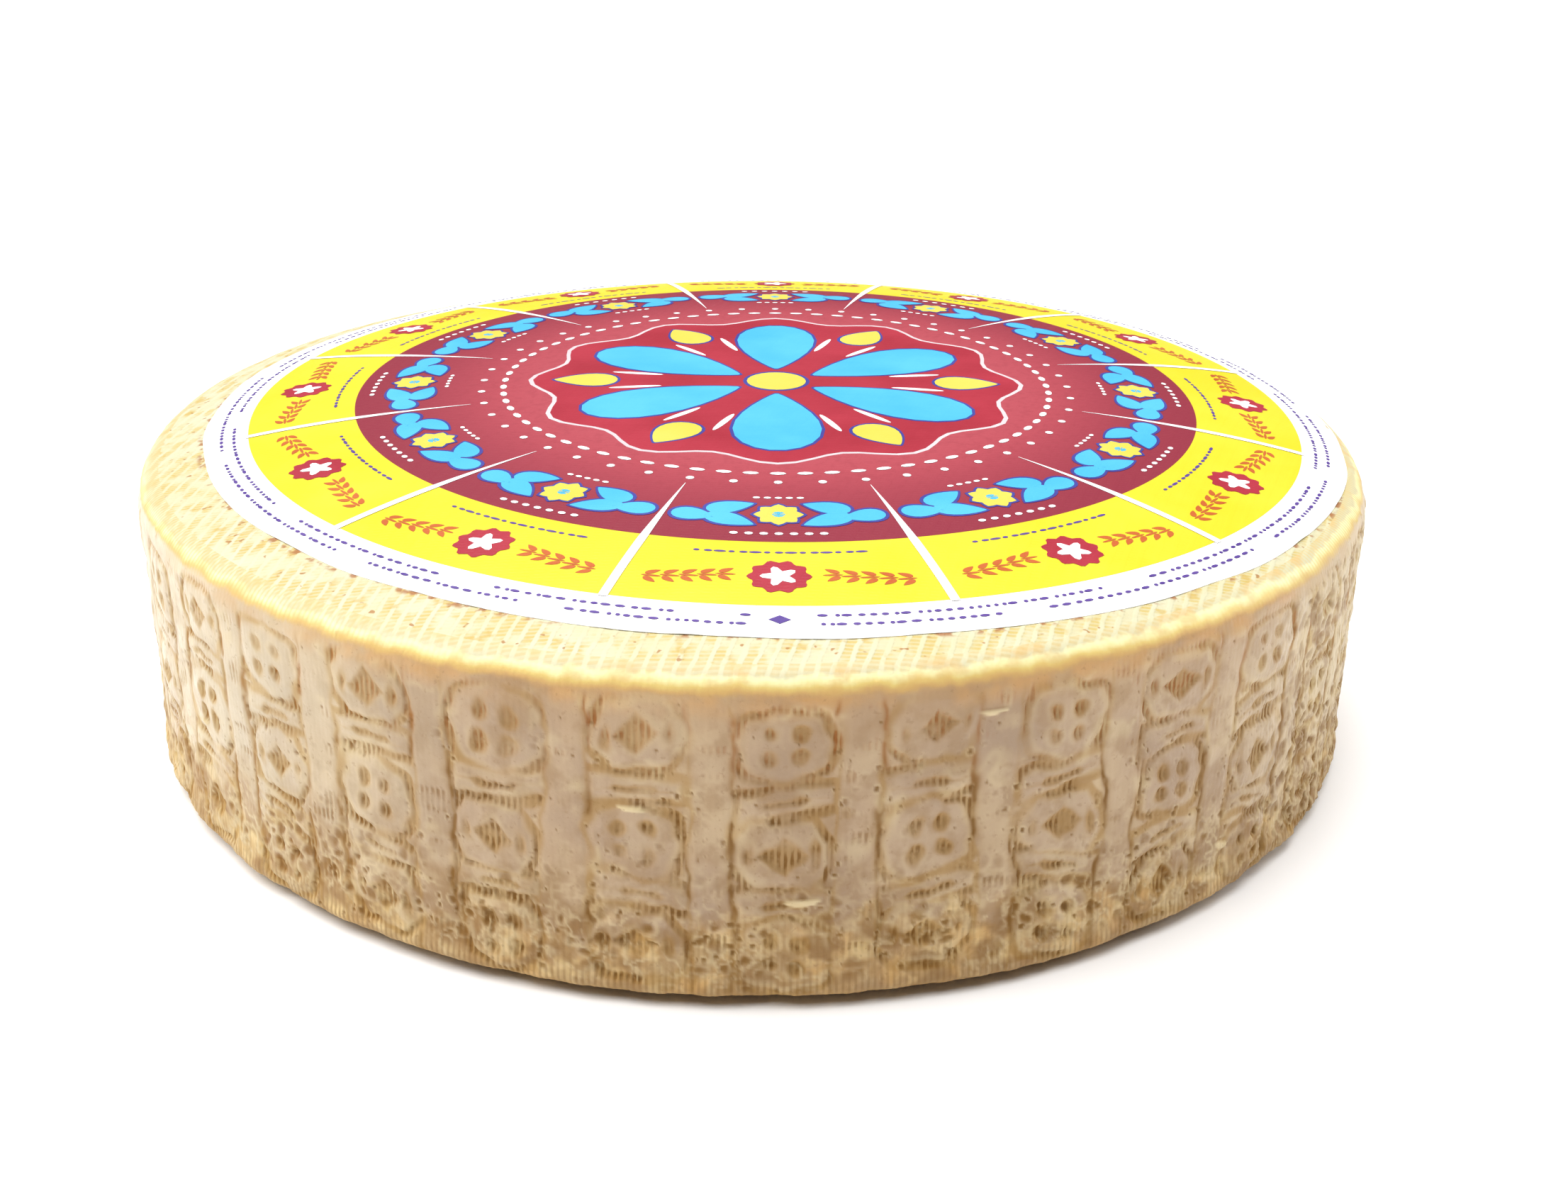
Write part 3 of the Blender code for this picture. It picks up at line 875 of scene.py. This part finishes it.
def side_finish():
    finish = Finish("rind_side", roughness=0.4, specular=0.4)
    coat = finish.mask("coat")
    recess = finish.mask("recess")
    ribs = rib_wave(finish)
    small = finish.noise(0.006, 3.0, 0.6)
    rim, band = rim_colour(finish, ribs)
    finish.set("Base Color", finish.blend(rim, rind_colour(finish, ribs, small), band))

    dull = finish.most(recess, finish.mask("soil"), finish.mask("pit"), finish.mask("seam"))
    finish.set("Specular IOR Level", finish.step(dull, 0.1, 0.8, 0.4, 0.06))
    wet = finish.step(small, 0.3, 0.7, 0.28, 0.46)
    dry = finish.step(coat, 0.0, 1.0, 0.62, 0.0)
    rough = finish.plus(finish.times(wet, coat), dry)
    finish.set("Roughness", finish.most(rough, finish.times(rim, 0.5)))
    normal = finish.bump(finish.times(ribs, finish.most(recess, 0.1)), 0.00012, 0.6)
    normal = finish.bump(finish.noise(0.0007, 3.0, 0.6), 0.00012, 0.5, normal)
    waxy = finish.step(finish.mask("thick"), 0.1, 0.6, 0.25, 0.5)
    finish.set("Normal", finish.bump(finish.noise(0.0035, 2.0), 0.0004, waxy, normal))
    return finish.material


def label_reach(finish):
    """How far a place lies from the label's middle."""
    from_middle = finish.node("VectorMath", {0: finish.place, 1: (*LABEL_CENTRE, 0)}, operation="SUBTRACT")
    flat = finish.node("VectorMath", {0: from_middle.outputs[0], 1: (1, 1, 0)}, operation="MULTIPLY")
    return finish.node("VectorMath", {0: flat.outputs[0]}, operation="LENGTH").outputs["Value"]


def top_finish():
    finish = Finish("rind_top", roughness=0.5, specular=0.35)
    cloth = cloth_wave(finish)
    worn = finish.clouds(0.0055, 3.0, 0.4, 0.62, 0.1, 1.0)
    cream = finish.ramp(finish.noise(0.012, 3.0),
                        (0.3, top_tone(255, 253, 220)), (0.7, top_tone(254, 247, 200)))
    amber = finish.clouds(0.0034, 2.0, 0.56, 0.7, 0.0, 0.7)
    spots = finish.clouds(0.0019, 1.0, 0.69, 0.76, 0.0, 0.85)
    beside = finish.step(label_reach(finish), LABEL_RADIUS + 0.0016, LABEL_RADIUS + 0.0003)
    grubby = finish.clouds(0.0028, 2.0, 0.52, 0.64, 0.0, 0.9)
    finish.set("Base Color", finish.paint(
        cream,
        (finish.times(cloth, worn), top_tone(245, 219, 136)),
        (finish.times(amber, worn), top_tone(240, 204, 112)),
        (spots, top_tone(206, 142, 72)),
        (finish.times(beside, grubby), top_tone(198, 128, 72))))
    normal = finish.bump(cloth, -0.00012, 0.6)
    finish.set("Normal", finish.bump(finish.noise(0.0009, 3.0), 0.0001, 0.5, normal))
    return finish.material


def base_finish():
    finish = Finish("rind_base", roughness=0.6, specular=0.35)
    cloth = cloth_wave(finish)
    tan = finish.ramp(finish.noise(0.014, 4.0), (0.3, top_tone(214, 168, 98)), (0.7, top_tone(184, 132, 68)))
    finish.set("Base Color", finish.blend(finish.times(cloth, 0.4), tan, top_tone(150, 98, 44)))
    normal = finish.bump(cloth, -0.00012, 0.7)
    finish.set("Normal", finish.bump(finish.noise(0.0012, 3.0), 0.00015, 0.6, normal))
    return finish.material


def set_print_normal(finish):
    """The cloth marks of the rind, pressed faintly through the paper."""
    normal = finish.bump(cloth_wave(finish), -0.00008, 0.3)
    finish.set("Normal", finish.bump(finish.noise(0.0006, 2.0), 0.00005, 0.4, normal))


def print_finish(name, *tones):
    """Ink or bare paper in two tones that pass into each other."""
    finish = Finish(name, roughness=0.42, specular=0.35)
    spread = [(0.35 + 0.3 * index, shade) for index, shade in enumerate(tones)]
    finish.set("Base Color", finish.ramp(finish.noise(0.02, 4.0), *spread))
    set_print_normal(finish)
    return finish.material


def red_finish():
    """The red field: darker towards its edge, with a faint blotchy print."""
    finish = Finish("red_field", roughness=0.42, specular=0.35)
    colour = finish.ramp(finish.step(label_reach(finish), 0.02, RED_RADIUS), (0.0, ink_tone(208, 96, 106)),
                         (0.6, ink_tone(194, 80, 92)), (1.0, ink_tone(158, 52, 70)))
    blotchy = finish.clouds(0.0016, 2.0, 0.45, 0.7, 0.0, 0.25)
    finish.set("Base Color", finish.blend(blotchy, colour, ink_tone(164, 60, 72)))
    set_print_normal(finish)
    return finish.material


# ---- The label ----

def paper_places(flat, layer):
    """Lay flat places, measured from the label's middle, on the wheel's top, layer by layer."""
    across = flat[:, 0] + LABEL_CENTRE[0]
    along = flat[:, 1] + LABEL_CENTRE[1]
    radius = np.hypot(across, along)
    crown = crown_height(np.minimum(radius, CROWN_EDGE))
    over = np.clip(radius - SHOULDER_CENTRE, 0, SHOULDER_RADIUS)
    round_part = SHOULDER_HEIGHT + np.sqrt(SHOULDER_RADIUS ** 2 - over ** 2)
    height = np.where(radius <= CROWN_EDGE, crown, round_part)
    points = settle(np.stack([across, along, height], -1))
    turn = np.arctan2(flat[:, 0], -flat[:, 1])
    edge = rise(np.hypot(flat[:, 0], flat[:, 1]), 0.117, LABEL_RADIUS)
    crests = np.sin(31 * turn + 2.2 * np.sin(5 * turn)) * (0.5 + 0.5 * np.sin(7 * turn + 1.0))
    crests += 0.7 * np.sin(53 * turn + 3.0 * np.sin(4 * turn + 1.3)) * (0.5 - 0.5 * np.sin(5 * turn))
    ripple = PAPER_RIPPLE * edge ** 2 * np.maximum(crests - 0.35, 0)
    points[:, 2] += PAPER_LIFT + layer + ripple
    return points


def lay_on_wheel(piece, flat, layer):
    """Lay a flat piece of the label on the wheel and keep its edges crisp."""
    write_places(piece.data, paper_places(flat, layer))
    piece.data.set_sharp_from_angle(angle=SHARP_ANGLE)
    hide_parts("label")
    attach(piece, "root")


def make_paper():
    rings = [0.0, *even_steps(0.01, 0.11, 20), *even_steps(0.1125, LABEL_RADIUS, 10)]
    profile = [(radius, PAPER_THICKNESS) for radius in rings] + [(radius, 0.0) for radius in reversed(rings)]
    shape = spun_shape(profile, 0.0, FULL_TURN, LABEL_STEPS, 12)
    bmesh.ops.recalc_face_normals(shape, faces=shape.faces)
    white = print_finish("paper", (0.93, 0.93, 0.92, 1), (0.90, 0.90, 0.89, 1))
    piece = make_piece("label_paper", shape, white)
    flat = read_places(piece.data)
    turn = np.arctan2(flat[:, 0], -flat[:, 1])
    nibble = 0.0015 * np.sin(17 * turn + np.sin(9 * turn))
    nibble *= rise(np.hypot(flat[:, 0], flat[:, 1]), 0.12, 0.13)
    flat[:, :2] *= 1 + nibble[:, None]
    lay_on_wheel(piece, flat, flat[:, 2] - PAPER_THICKNESS)


class Ink:
    """One colour of print: flat shapes that are laid on the label together."""

    def __init__(self, name, layer, finish):
        self.name = name
        self.layer = layer
        self.finish = finish
        self.shape = bmesh.new()
        self.scratch = bpy.data.meshes.new(name + "_scratch")

    def add(self, part, place, warp):
        """Warp a flat part to a motif's outline and put it in place."""
        for vertex in part.verts:
            across, along = warp(vertex.co.x, vertex.co.y)
            vertex.co = place @ Vector((across, along, 0))
        part.normal_update()
        turned = [face for face in part.faces if face.normal.z < 0]
        bmesh.ops.reverse_faces(part, faces=turned)
        part.to_mesh(self.scratch)
        part.free()
        self.shape.from_mesh(self.scratch)

    def disc(self, place, sides, rings, warp):
        """A motif from the unit circle, spun from a spoke."""
        part = bmesh.new()
        spoke = [part.verts.new((step / rings, 0, 0)) for step in range(rings + 1)]
        edges = [part.edges.new(pair) for pair in zip(spoke, spoke[1:])]
        bmesh.ops.spin(part, geom=spoke + edges, cent=(0, 0, 0), axis=(0, 0, 1), dvec=(0, 0, 0),
                       angle=FULL_TURN, steps=sides, use_merge=True, use_duplicate=False)
        bmesh.ops.remove_doubles(part, verts=part.verts, dist=1e-6)
        self.add(part, place, warp)

    def strip(self, place, rows, warp):
        """A narrow motif from a grid that runs from -1 to 1 both ways."""
        part = bmesh.new()
        bmesh.ops.create_grid(part, x_segments=1, y_segments=rows, size=1.0)
        self.add(part, place, warp)

    def finish_piece(self):
        """Give the shapes their thickness and lay them on the paper."""
        bmesh.ops.recalc_face_normals(self.shape, faces=self.shape.faces)
        thick = bmesh.ops.extrude_face_region(self.shape, geom=list(self.shape.faces))
        raised = [item for item in thick["geom"] if isinstance(item, bmesh.types.BMVert)]
        bmesh.ops.translate(self.shape, verts=raised, vec=(0, 0, INK_STEP))
        bmesh.ops.recalc_face_normals(self.shape, faces=self.shape.faces)
        piece = make_piece(self.name, self.shape, self.finish)
        flat = read_places(piece.data)
        lay_on_wheel(piece, flat, flat[:, 2] + self.layer * INK_STEP)


def polar(radius, azimuth, turn=0.0):
    """A place on the label at a radius and azimuth, with local Y pointing outwards before the turn."""
    centre = Vector((radius * math.sin(azimuth), -radius * math.cos(azimuth), 0))
    return Matrix.Translation(centre) @ Matrix.Rotation(azimuth + math.pi + turn, 4, "Z")


def ellipse(half_width, half_height):
    return lambda across, along: (across * half_width, along * half_height)


def drop(length, width):
    """A leaf: round at its foot and pointed at its tip, along local Y."""
    def warp(across, along):
        narrow = (1 - along) / 2
        return across * width / 2 * (0.25 + 1.25 * narrow ** 0.7 * (1 - 0.25 * narrow)), along * length / 2
    return warp


def flower(radius, petals, depth):
    def warp(across, along):
        turn = math.atan2(along, across)
        reach = radius * (1 - depth / 2 + depth / 2 * math.cos(petals * turn))
        return across * reach, along * reach
    return warp


def spoke(across, along):
    """A rule that tapers off towards the label's middle."""
    outer = YELLOW_RADIUS + FIELD_OVERLAP
    share = (along + 1) / 2
    half_width = SPOKE_HALF_WIDTH * min(1.0, 0.06 + 1.7 * share)
    return across * half_width, -(SPOKE_START + (outer - SPOKE_START) * share)


def make_field(name, inner, outer, rings, layer, finish):
    """A ring-shaped field of one colour."""
    ink = Ink(name, layer, finish)
    ink.shape.free()
    profile = [(radius, 0.0) for radius in even_steps(inner, outer, rings)]
    ink.shape = spun_shape(profile, 0.0, FULL_TURN, FIELD_STEPS, 12)
    ink.finish_piece()


# The inks in the order of their pieces: layer and the two tones
INKS = {
    "frame": (3.4, ink_tone(250, 236, 238), ink_tone(240, 222, 226)),
    "white": (7.0, (0.9, 0.88, 0.88, 1), (0.86, 0.82, 0.83, 1)),
    "outline": (5.8, ink_tone(72, 70, 160), ink_tone(80, 84, 176)),
    "blue": (7.0, ink_tone(82, 198, 244), ink_tone(98, 210, 248)),
    "yellow": (7.0, ink_tone(250, 226, 88), ink_tone(252, 232, 104)),
    "maroon": (4.6, ink_tone(180, 44, 62), ink_tone(196, 56, 74)),
    "orange": (3.4, ink_tone(210, 104, 48), ink_tone(220, 116, 58)),
    "violet": (3.4, ink_tone(96, 70, 158), ink_tone(110, 82, 168)),
}


def make_label():
    yellow = print_finish("yellow_field", ink_tone(250, 232, 44), ink_tone(252, 238, 60))
    make_field("print_yellow_field", RED_RADIUS - FIELD_OVERLAP, YELLOW_RADIUS, 8, 1, yellow)
    make_field("print_red_field", 0.0, RED_RADIUS, 26, 2.2, red_finish())
    inks = {name: Ink("print_" + name, layer, print_finish("ink_" + name, *tones))
            for name, (layer, *tones) in INKS.items()}
    part = FULL_TURN / SEGMENT_COUNT
    for segment in range(SEGMENT_COUNT):
        inks["white"].strip(Matrix.Rotation((segment + 0.5) * part, 4, "Z"), 40, spoke)
    for segment in range(SEGMENT_COUNT):
        garland(segment * part, inks)
        sprig(segment * part, inks)
    rim_print(inks["violet"])
    centre_rosette(inks)
    for ink in inks.values():
        ink.finish_piece()


def outlined(ink, outline, place, length, width, rings=3):
    """A leaf with a darker line round it."""
    ink.disc(place, 22, rings, drop(length, width))
    outline.disc(place, 22, rings, drop(length + 0.0014, width + 0.0015))


def garland(azimuth, inks):
    """Leaves on both sides of a blossom, near the edge of the red field."""
    middle = polar(GARLAND_RADIUS, azimuth)
    inks["yellow"].disc(middle, 32, 3, flower(0.0049, 8, 0.22))
    inks["outline"].disc(middle, 32, 3, flower(0.0056, 8, 0.2))
    inks["blue"].disc(middle, 12, 1, ellipse(0.0013, 0.0013))
    for side in (-1, 1):
        for order, (reach, offset, lean) in enumerate(GARLAND_LEAVES):
            aside = azimuth + side * reach / GARLAND_RADIUS
            place = polar(GARLAND_RADIUS + offset, aside, -side * math.radians(lean))
            outlined(inks["blue"], inks["outline"], place, LEAF_LENGTH - 0.0009 * order, LEAF_WIDTH)
    for count, offset, pitch, half_width, half_height in GARLAND_BEADS:
        for bead in range(-count, count + 1):
            place = polar(GARLAND_RADIUS + offset, azimuth + bead * pitch / GARLAND_RADIUS)
            inks["white"].disc(place, 8, 1, ellipse(half_width, half_height))


def sprig(azimuth, inks):
    """A small rosette between two twigs, on the yellow field, and a row of dashes."""
    middle = polar(SPRIG_RADIUS, azimuth)
    inks["maroon"].disc(middle, 48, 4, flower(0.0060, 10, 0.16))
    inks["white"].disc(middle, 30, 2, flower(0.0036, 5, 0.5))
    for side in (-1, 1):
        for leaf in range(5):
            reach = 0.0098 + 0.0033 * leaf
            place = polar(SPRIG_RADIUS - 0.0004 + 0.0006 * leaf, azimuth + side * reach / SPRIG_RADIUS)
            inks["orange"].disc(place, 8, 1, ellipse(0.0019, 0.00032))
            for lift in (-1, 1):
                turn = -side * lift * math.radians(58) + (0 if lift > 0 else math.pi)
                tilted = place @ Matrix.Translation((0, lift * 0.0014, 0)) @ Matrix.Rotation(turn, 4, "Z")
                inks["orange"].disc(tilted, 14, 1, drop(0.0030, 0.0014))
    for dash in range(-7, 8):
        length = (0.0008, 0.0012, 0.0006)[dash % 3]
        place = polar(DASH_RADIUS, azimuth + dash * 0.0024 / SPRIG_RADIUS)
        inks["violet"].disc(place, 10, 1, ellipse(length, 0.00038))


def rim_print(fine):
    """Two rows of fine dashes on the bare rim, in runs of several lengths, and a small diamond in front."""
    uneven = np.random.default_rng(5)
    for row, radius in enumerate(RIM_PRINT_RADII):
        reach = RIM_PRINT_START
        while reach < RIM_PRINT_END:
            for _ in range(int(uneven.integers(16, 34))):
                length = float(uneven.choice(RIM_DASHES))
                fine.disc(polar(radius, reach), 8, 1, ellipse(length, 0.0004))
                reach += (2 * length + 0.0007) / radius
                if reach > RIM_PRINT_END:
                    break
            reach += 0.09 - 0.02 * row
    fine.disc(polar(0.1256, 0.0), 4, 1, ellipse(0.0020, 0.0013))


def centre_rosette(inks):
    """A compass rosette of six petals in the middle, with rings of beads round it."""
    middle = Matrix.Identity(4)
    inks["maroon"].disc(middle, 96, 12, flower(0.0575, 12, 0.09))
    inks["frame"].disc(middle, 96, 12, flower(0.0586, 12, 0.09))
    inks["yellow"].disc(middle, 24, 3, ellipse(0.0070, 0.0070))
    inks["outline"].disc(middle, 24, 3, ellipse(0.0079, 0.0079))
    for petal in range(6):
        azimuth = petal * math.pi / 3
        outlined(inks["blue"], inks["outline"], polar(0.0300, azimuth, math.pi), 0.0400, 0.0200, 8)
        outlined(inks["yellow"], inks["outline"], polar(0.0450, azimuth + math.pi / 6), 0.0150, 0.0100)
        for side in (-1, 1):
            inks["white"].disc(polar(0.0335, azimuth + side * 0.36), 16, 1, ellipse(0.0008, 0.0062))
    for count, radius, half_width, half_height in BEAD_RINGS:
        for bead in range(count):
            place = polar(radius, bead * FULL_TURN / count)
            inks["white"].disc(place, 8, 1, ellipse(half_width, half_height))


# ---- The wheel ----

def make_wheel():
    side = side_finish()
    heights = even_steps(SHOULDER_HEIGHT, FOOT_LIFT + FOOT_RADIUS, WALL_STEPS)
    wall = [(SIDE_RADIUS, height) for height in heights]
    profile = shoulder_profile()[:-1] + wall[:-1] + foot_profile()
    begin = FIRST_COLUMN - (SECTORS[0] / 2) * COLUMN_ANGLE
    start = begin
    for number, columns in enumerate(SECTORS):
        rind_piece(f"rind_side_{number + 1}", profile, start, columns, side)
        start += columns * COLUMN_ANGLE
    radii = [*HIDDEN_RADII, *even_steps(VISIBLE_TOP_RADIUS, CROWN_EDGE, TOP_STEPS)]
    crown = [(radius, crown_height(radius)) for radius in radii]
    rind_piece("rind_top", crown, begin, COLUMN_COUNT, top_finish())
    rind_piece("rind_base", base_profile(), begin, COLUMN_COUNT, base_finish())


# ---- The studio ----

def make_camera():
    ahead = Vector((math.sin(CAMERA_YAW) * math.cos(CAMERA_PITCH),
                    math.cos(CAMERA_YAW) * math.cos(CAMERA_PITCH), -math.sin(CAMERA_PITCH)))
    level = Vector((math.cos(CAMERA_YAW), -math.sin(CAMERA_YAW), 0))
    upright = level.cross(ahead)
    right = math.cos(CAMERA_ROLL) * level + math.sin(CAMERA_ROLL) * upright
    up = math.cos(CAMERA_ROLL) * upright - math.sin(CAMERA_ROLL) * level
    data = bpy.data.cameras.new("camera")
    data.sensor_fit = "HORIZONTAL"
    data.sensor_width = SENSOR_WIDTH
    data.lens = FOCAL_PIXELS / PHOTO_WIDTH * SENSOR_WIDTH
    data.clip_start = 0.01
    camera = bpy.data.objects.new("camera", data)
    turn = Matrix((right, up, -ahead)).transposed().to_4x4()
    camera.matrix_world = Matrix.Translation(CAMERA_PLACE) @ turn
    bpy.context.scene.collection.objects.link(camera)
    bpy.context.scene.camera = camera


def make_floor():
    finish = Finish("floor_paper", roughness=0.9, specular=0.1)
    white = finish.ramp(finish.noise(0.4, 2.0), (0.3, (0.93, 0.93, 0.93, 1)), (0.7, (0.95, 0.95, 0.95, 1)))
    finish.set("Base Color", white)
    shape = bmesh.new()
    bmesh.ops.create_grid(shape, x_segments=8, y_segments=8, size=6.0)
    make_piece("floor", shape, finish.material)


def make_lamp(name, kind, place, aim, energy, **settings):
    data = bpy.data.lights.new(name, kind)
    data.energy = energy
    for key, value in settings.items():
        setattr(data, key, value)
    lamp = bpy.data.objects.new(name, data)
    turn = (Vector(aim) - Vector(place)).to_track_quat("-Z", "Y").to_matrix().to_4x4()
    lamp.matrix_world = Matrix.Translation(place) @ turn
    bpy.context.scene.collection.objects.link(lamp)


def make_studio():
    world = bpy.data.worlds.new("white_tent")
    world.use_nodes = True
    world.node_tree.nodes["Background"].inputs["Color"].default_value = (1, 1, 1, 1)
    world.node_tree.nodes["Background"].inputs["Strength"].default_value = 0.08
    bpy.context.scene.world = world
    make_lamp("overhead", "SUN", (-0.34, 0.14, 1.6), (0, 0, 0), 5.0, angle=math.radians(75))
    make_lamp("left_softbox", "AREA", (-1.5, -0.1, 0.9), (0, 0, 0.04), 9.3, shape="DISK", size=0.8)
    make_lamp("right_softbox", "AREA", (1.5, 0.3, 0.8), (0, 0, 0.04), 10, shape="DISK", size=0.8)
    bpy.context.scene.view_settings.view_transform = "Standard"
    bpy.context.scene.view_settings.look = "None"


make_camera()
make_studio()
make_floor()
make_wheel()
make_paper()
make_label()
